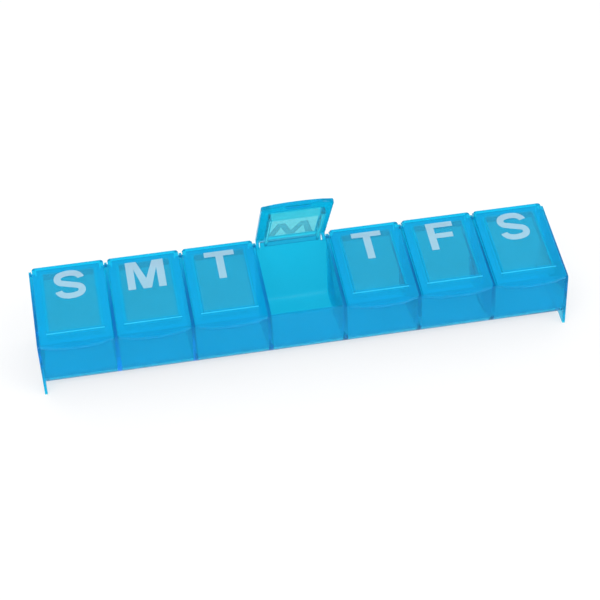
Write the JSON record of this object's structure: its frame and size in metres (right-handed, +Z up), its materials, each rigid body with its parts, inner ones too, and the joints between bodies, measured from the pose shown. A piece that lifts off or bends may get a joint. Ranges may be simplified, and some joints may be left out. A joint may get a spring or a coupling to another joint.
{
  "type": "weekly pill organizer",
  "caption": "Translucent pill organizer: a row of compartments in one moulded tray on four small feet, each closed by its own sloping hinged lid lettered for a weekday.",
  "frame": {"origin": "on the surface it stands on, under the middle of its bounding box with one lid open as in the picture", "axes": "+X along the row towards the right seen from the front, -Y is the front, +Z up"},
  "size_m": [0.204, 0.042, 0.063],
  "materials": {
    "tray_plastic": "translucent moulded polypropylene, satin",
    "lid_plastic": "translucent moulded polypropylene, glossy",
    "letter_ink": "pale printed ink"
  },
  "bodies": {
    "tray": {"tray": "tray_plastic"},
    "sunday": {"lid_sunday": "lid_plastic", "letter_sunday": "letter_ink"},
    "monday": {"lid_monday": "lid_plastic", "letter_monday": "letter_ink"},
    "tuesday": {"lid_tuesday": "lid_plastic", "letter_tuesday": "letter_ink"},
    "wednesday": {"lid_wednesday": "lid_plastic", "letter_wednesday": "letter_ink"},
    "thursday": {"lid_thursday": "lid_plastic", "letter_thursday": "letter_ink"},
    "friday": {"lid_friday": "lid_plastic", "letter_friday": "letter_ink"},
    "saturday": {"lid_saturday": "lid_plastic", "letter_saturday": "letter_ink"}
  },
  "joints": [
    {"name": "sunday_hinge", "type": "hinge", "parent": "tray", "child": "sunday", "pos_m": [-0.087, 0.01813, 0.03036], "axis": [-1, 0, 0], "range_deg": [0, 110]},
    {"name": "monday_hinge", "type": "hinge", "parent": "tray", "child": "monday", "pos_m": [-0.058, 0.01813, 0.03036], "axis": [-1, 0, 0], "range_deg": [0, 110]},
    {"name": "tuesday_hinge", "type": "hinge", "parent": "tray", "child": "tuesday", "pos_m": [-0.029, 0.01813, 0.03036], "axis": [-1, 0, 0], "range_deg": [0, 110]},
    {"name": "wednesday_hinge", "type": "hinge", "parent": "tray", "child": "wednesday", "pos_m": [0, 0.01813, 0.03036], "axis": [-1, 0, 0], "range_deg": [-66, 44]},
    {"name": "thursday_hinge", "type": "hinge", "parent": "tray", "child": "thursday", "pos_m": [0.029, 0.01813, 0.03036], "axis": [-1, 0, 0], "range_deg": [0, 110]},
    {"name": "friday_hinge", "type": "hinge", "parent": "tray", "child": "friday", "pos_m": [0.058, 0.01813, 0.03036], "axis": [-1, 0, 0], "range_deg": [0, 110]},
    {"name": "saturday_hinge", "type": "hinge", "parent": "tray", "child": "saturday", "pos_m": [0.087, 0.01813, 0.03036], "axis": [-1, 0, 0], "range_deg": [0, 110]}
  ]
}
